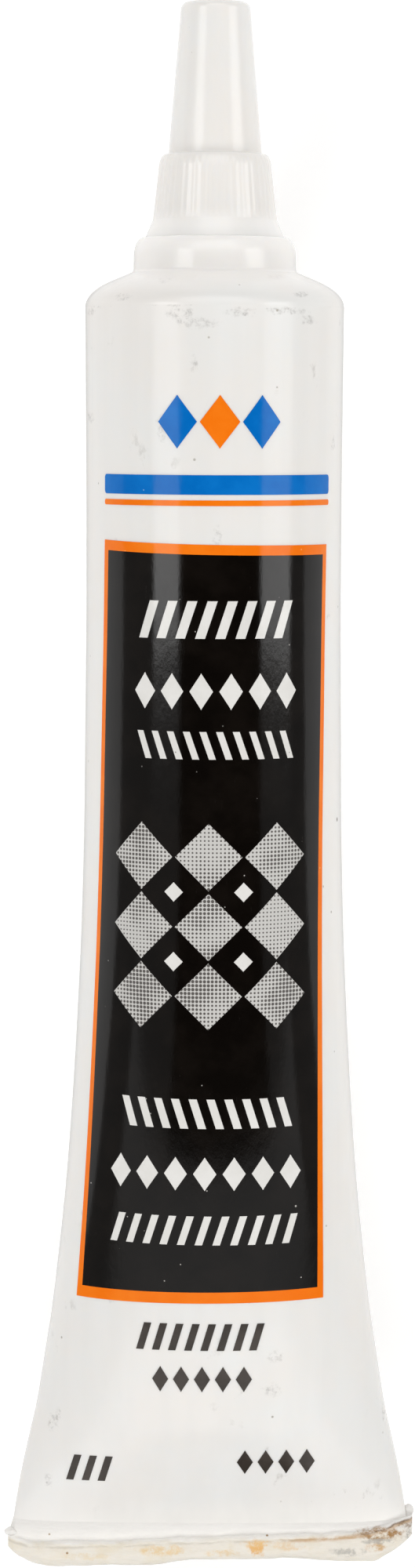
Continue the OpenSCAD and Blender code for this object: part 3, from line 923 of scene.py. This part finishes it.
SHOULDER_CORNER = (SLEEVE_TOP + SHOULDER_CORNER_RISE, SLEEVE_R)
SHOULDER_BEND_TOP = (SLEEVE_TOP + SHOULDER_BEND_RISE, SHOULDER_BEND_R)
head_profile = rounded([
    (HEAD_FOOT, PLUG_R - PLUG_WALL), (HEAD_FOOT, PLUG_R), (SLEEVE_TOP, PLUG_R),
    *bend((SLEEVE_TOP, SLEEVE_R), SHOULDER_CORNER, SHOULDER_BEND_TOP),
    (COLLAR_FOOT, COLLAR_R + COLLAR_SWELL, COLLAR_FOOT_ROUND),
    *quarter(COLLAR_TOP - COLLAR_ROUND, COLLAR_R - COLLAR_INSET, COLLAR_ROUND, COLLAR_INSET),
    (COLLAR_TOP, NECK_R, NECK_ROUND), (NECK_TOP, NECK_R, NECK_ROUND),
    (NECK_TOP, NECK_BORE_R), (COLLAR_FOOT - HEAD_DEPTH, NECK_BORE_R),
    (SLEEVE_TOP - HEAD_DEPTH, PLUG_R - PLUG_WALL),
], steps=10)
neck_thread = thread(NECK_R, THREAD_DEPTH, NECK_THREAD_FOOT, NECK_TURNS)
make_piece(
    "head_moulding",
    *join(revolve(finer(head_profile, HEAD_STRETCH), HEAD_SIDES), neck_thread),
    head_m.material, "head", replaces=["tube_head"],
)

# Nozzle

nozzle_profile = rounded([
    (NOZZLE_FOOT, WAY_R), (NOZZLE_FOOT, PRESSED_R), (NECK_TOP, PRESSED_R),
    (NECK_TOP, NOZZLE_FLANGE_R), (FLANGE_TOP, NOZZLE_FLANGE_R, FLANGE_ROUND),
    (FLANGE_TOP, NOZZLE_FOOT_R, FLANGE_CORNER), (NOZZLE_TIP, NOZZLE_TIP_R, NOZZLE_TIP_ROUND),
    (NOZZLE_TIP, ORIFICE_R, ORIFICE_ROUND), (NOZZLE_TIP - ORIFICE_DEPTH, ORIFICE_R),
    (NECK_TOP, WAY_R),
], steps=8)
make_piece(
    "nozzle_tip", *revolve(finer(nozzle_profile, NOZZLE_STRETCH), NOZZLE_SIDES),
    head_m.material, "head", replaces=["nozzle"],
)

# Cap


def bore_at(s):
    """Radius of the bore in the cap's cone."""
    share = (s - CONE_FOOT) / (CAP_TOP - CONE_FOOT)
    return CONE_FOOT_R + (CONE_TIP_R - CONE_FOOT_R) * share - CAP_WALL


def fluted(s, r, angle):
    """Radius of the cap's outside, with soft flutes round its skirt."""
    if r < SKIRT_OUTSIDE:
        return r
    lip_top = CAP_FOOT + LIP_HEIGHT
    here = smoothstep(lip_top + FLUTES_FROM, lip_top + FLUTES_FULL, s)
    here *= smoothstep(CONE_FOOT + FLUTES_END, CONE_FOOT - FLUTES_FADE, s)
    return r - FLUTE_DEPTH * here * (1 - math.cos(FLUTES * angle)) / 2


cap_profile = rounded([
    (BORE_TOP, AXIS_R), (BORE_TOP, bore_at(BORE_TOP)),
    (BORE_STEP, bore_at(BORE_STEP)), (BORE_STEP, CAP_BORE_R), (MOUTH, CAP_BORE_R),
    (MOUTH, LIP_R, LIP_ROUND), (CAP_FOOT + LIP_HEIGHT, SKIRT_FOOT_R, SKIRT_FOOT_ROUND),
    *quarter(CONE_FOOT - LEDGE_RISE, SKIRT_TOP_R - LEDGE_ROUND, LEDGE_RISE, LEDGE_ROUND),
    (CONE_FOOT, CONE_FOOT_R, CONE_FOOT_ROUND),
    *quarter(CAP_TOP - TIP_ROUND, CONE_TIP_R - TIP_ROUND, TIP_ROUND, TIP_ROUND),
    (CAP_TOP, AXIS_R),
], steps=9)
cap_solid = revolve(finer(cap_profile, CAP_STRETCH), FLUTES * STEPS_A_FLUTE, fluted)
cap_thread = thread(CAP_BORE_R, -THREAD_DEPTH, CAP_THREAD_FOOT, CAP_TURNS)
make_piece(
    "cap_shell", *join(cap_solid, cap_thread), cap_m.material, "cap", body="cap",
    replaces=["screw_cap"],
)

# Pieces that stay as the CAD has them

for node, dress in (("cap_seal", cap_m), ("graphite_powder", powder_m)):
    node_materials = frame["nodes"][node].data.materials
    node_materials.clear()
    node_materials.append(dress.material)

# Print

# How far round from the middle of its front the sleeve is measured
FRONT_DEGREES = 135
# Steps across the skins of ink, and along them
PANEL_COLUMNS, BAR_COLUMNS, BORDER_COLUMNS, STROKE_COLUMNS = 90, 60, 60, 3
PANEL_STEPS, BAR_STEPS, STROKE_STEPS = 150, 8, 8


@lru_cache(maxsize=None)
def arc_lengths(s):
    """The sleeve's half width and half height at s, and the distance round it at each degree."""
    a, b = sleeve_oval(s)
    lengths = [0.0]
    for degree in range(FRONT_DEGREES):
        angle = math.radians(degree + 0.5)
        step = math.radians(1) * math.hypot(a * math.cos(angle), b * math.sin(angle))
        lengths.append(lengths[-1] + step)
    return a, b, lengths


def on_front(s, u, grow):
    """A point of the print, at the distance u round the sleeve."""
    a, b, lengths = arc_lengths(round(s, 4))
    i = min(bisect_right(lengths, abs(u)) - 1, len(lengths) - 2)
    angle = math.radians(i + (abs(u) - lengths[i]) / (lengths[i + 1] - lengths[i]))
    return on_oval(a, b, s, math.copysign(angle, u), grow)


def shift_at(s):
    """Where the panel's middle is at s, as a distance round the sleeve."""
    return SHIFT_FOOT + (SHIFT_TOP - SHIFT_FOOT) * (s - PANEL_FOOT) / (PANEL_TOP - PANEL_FOOT)


def on_panel(s, u, grow):
    """A point of the panel, whose left corners stand out a little."""
    leftness = 0.5 - (u - shift_at(s)) / PANEL_WIDTH
    out = TOP_CORNER * smoothstep(PANEL_TOP - CORNER_REACH, PANEL_TOP, s)
    out -= FOOT_CORNER * smoothstep(PANEL_FOOT + CORNER_REACH, PANEL_FOOT, s)
    return on_front(s + out * leftness**2, u, grow)


def patch(rows, columns, high=INK_HIGH, low=INK_LOW, place=on_front):
    """A skin of ink through rows of (s, left, right), from the tail end to the cap end."""
    rings = []
    for s, left, right in rows:
        distances = [left + (right - left) * k / columns for k in range(columns + 1)]
        ring = [place(s, u, high) for u in distances]
        rings.append(ring + [place(s, u, low) for u in reversed(distances)])
    return loft(rings)


def frame_line(outer, inner):
    """A closed line of ink between two outlines of (u, s) points."""
    rings = []
    for (u1, s1), (u2, s2) in zip(outer, inner):
        rings.append([
            on_panel(s1, u1, INK_LOW), on_panel(s1, u1, INK_HIGH), on_panel(s2, u2, INK_HIGH),
            on_panel(s2, u2, INK_LOW),
        ])
    return loft(rings, is_loop=True)


def bar(u1, u2, s1, s2, corner):
    """Rows of a bar with rounded corners."""
    rows = []
    quarter_turns = [math.pi / 2 * k / BAR_STEPS for k in range(BAR_STEPS + 1)]
    heights = [corner * (1 - math.cos(turn)) for turn in quarter_turns]
    middle = s2 - s1 - 2 * corner
    levels = {s1 + d for d in heights} | {s2 - d for d in heights}
    if middle > 0.5:
        levels |= {s1 + corner + middle * k / 4 for k in (1, 2, 3)}
    for s in sorted(levels):
        d = min(s - s1, s2 - s, corner)
        side = corner - math.sqrt(max(0.0, corner**2 - (corner - d) ** 2))
        side = min(side, corner - 0.02)
        rows.append((s, u1 + side, u2 - side))
    return rows


def printed(name, skins, ink_material, slot="black_ink", replaces=()):
    """A piece made of skins of one ink."""
    make_piece(name, *join(*skins), ink_material.material, slot, replaces=replaces)


def panel_rows(top_inset, foot_inset, side_inset):
    """The panel's rows, with its edges moved in."""
    rows = []
    low, high = PANEL_FOOT + foot_inset, PANEL_TOP - top_inset
    half = PANEL_WIDTH / 2 - side_inset
    for i in range(PANEL_STEPS + 1):
        s = low + (high - low) * i / PANEL_STEPS
        rows.append((s, shift_at(s) - half, shift_at(s) + half))
    return rows


def outline(rows):
    """The outline of a row table, as (u, s) points, anticlockwise from its left foot."""
    (s1, l1, r1), (s2, l2, r2) = rows[0], rows[-1]
    shares = [k / BORDER_COLUMNS for k in range(BORDER_COLUMNS)]
    points = [(l1 + (r1 - l1) * share, s1) for share in shares]
    points += [(right, s) for s, _, right in rows[:-1]]
    points += [(r2 + (l2 - r2) * share, s2) for share in shares]
    points += [(left, s) for s, left, _ in rows[:0:-1]]
    return points


inner_rows = panel_rows(TOP_BORDER, FOOT_BORDER, SIDE_BORDER)
printed(
    "black_panel", [patch(inner_rows, PANEL_COLUMNS, place=on_panel)], black_m,
    replaces=["printed_panel"],
)
printed(
    "orange_border", [frame_line(outline(inner_rows), outline(panel_rows(0, 0, 0)))],
    orange_m, "orange_ink", replaces=["panel_border"],
)

# A plain design of strokes and diamonds in the places of the print

OVER = dict(high=OVERPRINT_HIGH, low=OVERPRINT_LOW)


def stroke(u, s1, s2, width, lean, **heights):
    """A slanted stroke whose foot is round u."""
    rows = []
    for k in range(STROKE_STEPS + 1):
        share = k / STROKE_STEPS
        middle = u + lean * share
        rows.append((s1 + (s2 - s1) * share, middle - width / 2, middle + width / 2))
    return patch(rows, STROKE_COLUMNS, **heights)


def diamond(u, s, half_width, half_height, **heights):
    """A diamond round (u, s)."""
    rows, steps = [], max(4, round(half_height * 6))
    for k in range(-steps, steps + 1):
        half = max(LEAST_HALF, half_width * (1 - abs(k) / steps))
        rows.append((s + half_height * k / steps, u - half, u + half))
    return patch(rows, max(6, round(half_width * 8)), **heights)


def strokes(u1, u2, s1, s2, pitch, width, lean, **heights):
    """A row of slanted strokes between u1 and u2."""
    count = int((u2 - u1 - width - abs(lean)) / pitch)
    first = (u1 + u2 - count * pitch - lean) / 2
    return [stroke(first + k * pitch, s1, s2, width, lean, **heights) for k in range(count + 1)]


def diamonds(u1, u2, s, half_width, half_height, pitch, **heights):
    """A row of diamonds between u1 and u2."""
    count = int((u2 - u1 - 2 * half_width) / pitch)
    first = (u1 + u2 - count * pitch) / 2
    return [
        diamond(first + k * pitch, s, half_width, half_height, **heights) for k in range(count + 1)
    ]


# Rows of strokes: left, right, foot, top, pitch, width, lean
WHITE_STROKES = [
    (-6.3, 6.7, 71.0, 73.7, 1.45, 0.72, 0.9),
    (-6.2, 6.6, 62.3, 64.3, 1.2, 0.5, -0.7),
    (-7.4, 6.6, 35.2, 37.4, 1.3, 0.6, -0.7),
    (-8.1, 6.9, 26.4, 28.6, 1.3, 0.55, 0.7),
]
DARK_STROKES = [
    (-5.8, 4.2, 18.2, 20.3, 1.2, 0.55, 0.6), (-11.0, -7.2, 7.2, 9.3, 1.2, 0.55, 0.6),
]
# Rows of diamonds: left, right, height, half width, half height, pitch
WHITE_DIAMONDS = [(-6.8, 7.2, 67.2, 0.85, 1.3, 2.15), (-8.6, 7.6, 31.8, 0.85, 1.25, 2.15)]
DARK_DIAMONDS = [(-4.9, 3.6, 15.9, 0.6, 1.0, 1.55), (1.4, 8.4, 9.0, 0.6, 1.0, 1.55)]


def rows_of_marks(stroke_rows, diamond_rows, **heights):
    marks = [mark for row in stroke_rows for mark in strokes(*row, **heights)]
    return marks + [mark for row in diamond_rows for mark in diamonds(*row, **heights)]


printed("white_rows", rows_of_marks(WHITE_STROKES, WHITE_DIAMONDS, **OVER), white_m)
printed("dark_rows", rows_of_marks(DARK_STROKES, DARK_DIAMONDS), grey_m)

# The lattice in the panel's middle
FIELD_U, FIELD_S, FIELD_PITCH, FIELD_HALF, FIELD_SMALL_HALF = -0.3, 50.1, 5.1, 2.45, 0.7


def field(steps, half):
    """A square field of diamonds, at these steps of its pitch from its middle both ways."""
    return [
        diamond(FIELD_U + i * FIELD_PITCH, FIELD_S + k * FIELD_PITCH, half, half, **OVER)
        for i in steps for k in steps
    ]


printed("field_diamonds", field((-1, 0, 1), FIELD_HALF), picture_m)
printed("small_diamonds", field((-0.5, 0.5), FIELD_SMALL_HALF), white_m)

# The marks near the head. A stripe is foot, top and corner
MARK_U, MARK_S, MARK_PITCH, MARK_HALF_WIDTH, MARK_HALF_HEIGHT = 0.4, 86.5, 3.1, 1.45, 1.9
STRIPE_LEFT, STRIPE_RIGHT = -9.4, 10.2
BLUE_STRIPE = (81.3, 82.7, 0.25)
ORANGE_STRIPE = (80.5, 80.9, 0.15)


def head_mark(step):
    """A diamond near the head, this many steps to the right of the middle one."""
    return diamond(MARK_U + step * MARK_PITCH, MARK_S, MARK_HALF_WIDTH, MARK_HALF_HEIGHT)


def stripe(s1, s2, corner):
    return patch(bar(STRIPE_LEFT, STRIPE_RIGHT, s1, s2, corner), BAR_COLUMNS)


printed("blue_marks", [head_mark(-1), head_mark(1), stripe(*BLUE_STRIPE)], blue_m)
printed("orange_marks", [head_mark(0), stripe(*ORANGE_STRIPE)], orange_m, "orange_ink")

# Floor, lights and camera. Their sizes are in metres

FLOOR_HALF = 4.0
FLOOR_EDGES = (-FLOOR_HALF, FLOOR_HALF, -FLOOR_HALF, FLOOR_HALF)
FLOOR_GLOW = 0.2
MIRRORED_HEIGHT = -0.2 * MM
# What the gloss mirrors: the sheet's light, how much less of it there is beside the tube as a painted shadow, and
# where that ends sideways and towards the cap, in millimetres
MIRRORED_GLOW = 1.05
MIRRORED_LESS = 0.5
DARK_TO, LIGHT_FROM = 10, 22
DARK_BELOW, LIGHT_ABOVE = 95, 104
FLAG_HEIGHT = 0.8
FLAG_ANGLES = (-29, 42, -22, 9)
LIGHT_DISTANCE = 0.6
# Two angles from straight up to each side, two angles towards the cap, and the radiance
SOFTBOXES = {
    "left_softbox": ((-55, -31), (-3, 22), 4.15),
    "right_softbox": ((43, 72), (-3, 22), 3.7),
    "foot_softbox": ((-65, 65), (-34, -23), 0.5),
    "tail_softbox": ((-40, 40), (-60, -35), 2.9),
    "cap_softbox": ((-35, 35), (24, 60), 1.6),
}
WORLD_LIGHT = 0.26


def level_card(name, material, edges, height):
    """A level sheet of the studio between its left, right, foot and top edges."""
    left, right, foot, top = edges
    mesh = bpy.data.meshes.new(name)
    corners = [(left, foot), (right, foot), (right, top), (left, top)]
    mesh.from_pydata([(x, y, height) for x, y in corners], [], [(0, 1, 2, 3)])
    mesh.materials.append(material)
    card = bpy.data.objects.new(name, mesh)
    bpy.context.scene.collection.objects.link(card)
    return card


floor_m = Material("floor_paper", Roughness=0.9)
floor_m.colour(srgb(250, 250, 250))
floor_m.glow(FLOOR_GLOW)
floor = level_card("floor", floor_m.material, FLOOR_EDGES, 0)

# Painted reflection: the plastic's gloss mirrors a second, glowing sheet just below the floor, which is darker
# beside the tube as a painted shadow, so that the tube's edges stand out from the white floor
mirrored_m = Material("mirrored_glow_sheet", Roughness=1.0, Specular_IOR_Level=0.0)
mirrored_m.colour(srgb(0, 0, 0))
mirrored_axes = mirrored_m.axes()
beside = mirrored_m.window(mirrored_m.math("ABSOLUTE", mirrored_axes["X"]), LIGHT_FROM, DARK_TO)
below_cap = mirrored_m.window(mirrored_axes["Y"], TAIL_Y + LIGHT_ABOVE, TAIL_Y + DARK_BELOW)
# Painted shadow beside the tube, short of the cap
dark = mirrored_m.times(beside, below_cap)
mirrored_m.glow(mirrored_m.scaled(dark, -MIRRORED_LESS, MIRRORED_GLOW))
mirrored = level_card("mirrored_floor", mirrored_m.material, FLOOR_EDGES, MIRRORED_HEIGHT)
floor.visible_glossy = False
mirrored.visible_camera = mirrored.visible_diffuse = mirrored.visible_shadow = False
mirrored.visible_transmission = False


def softbox(name, sides, ends, radiance):
    """A light that fills these angles, as seen from the tube, and faces it."""
    middle = math.radians(sum(sides) / 2)
    width = 2 * LIGHT_DISTANCE * math.tan(math.radians(abs(sides[1] - sides[0]) / 2))
    foot, top = (LIGHT_DISTANCE * math.tan(math.radians(angle)) for angle in ends)
    light = bpy.data.lights.new(name, "AREA")
    light.shape = "RECTANGLE"
    light.size, light.size_y = width, top - foot
    light.energy = radiance * math.pi * width * (top - foot)
    lamp = bpy.data.objects.new(name, light)
    out = Vector((math.sin(middle), 0, math.cos(middle))) * LIGHT_DISTANCE
    lamp.matrix_world = (
        Matrix.Translation(out + Vector((0, (foot + top) / 2, 0))) @ Matrix.Rotation(middle, 4, "Y")
    )
    bpy.context.scene.collection.objects.link(lamp)


for light_name, light_values in SOFTBOXES.items():
    softbox(light_name, *light_values)

# The dark ceiling between the two side lights, which keeps the print's gloss black
flag_m = Material("black_cloth", Roughness=1.0, Specular_IOR_Level=0.0)
flag_m.colour(srgb(20, 20, 20))
flag_edges = [FLAG_HEIGHT * math.tan(math.radians(angle)) for angle in FLAG_ANGLES]
level_card("ceiling_flag", flag_m.material, flag_edges, FLAG_HEIGHT)

world = bpy.data.worlds.new("studio")
world.use_nodes = True
background = world.node_tree.nodes["Background"].inputs
background["Color"].default_value = WHITE
background["Strength"].default_value = WORLD_LIGHT
bpy.context.scene.world = world
bpy.context.scene.view_settings.view_transform = "Standard"

# The camera's place on the tube, in millimetres, its tilt towards the cap and its roll
CAMERA_PLACE = (-0.4, 87.58, 290.26)
CAMERA_PITCH = math.radians(5.5)
CAMERA_ROLL = math.radians(0.21)
camera = bpy.data.cameras.new("camera")
camera.lens = 90
camera.sensor_fit = "VERTICAL"
camera.sensor_height = 36
camera.clip_start = 0.02
camera.clip_end = 20
viewer = bpy.data.objects.new("camera", camera)
viewer.matrix_world = (
    Matrix.Translation(world_at(CAMERA_PLACE))
    @ Matrix.Rotation(-CAMERA_PITCH, 4, "X") @ Matrix.Rotation(CAMERA_ROLL, 4, "Z")
)
bpy.context.scene.collection.objects.link(viewer)
bpy.context.scene.camera = viewer
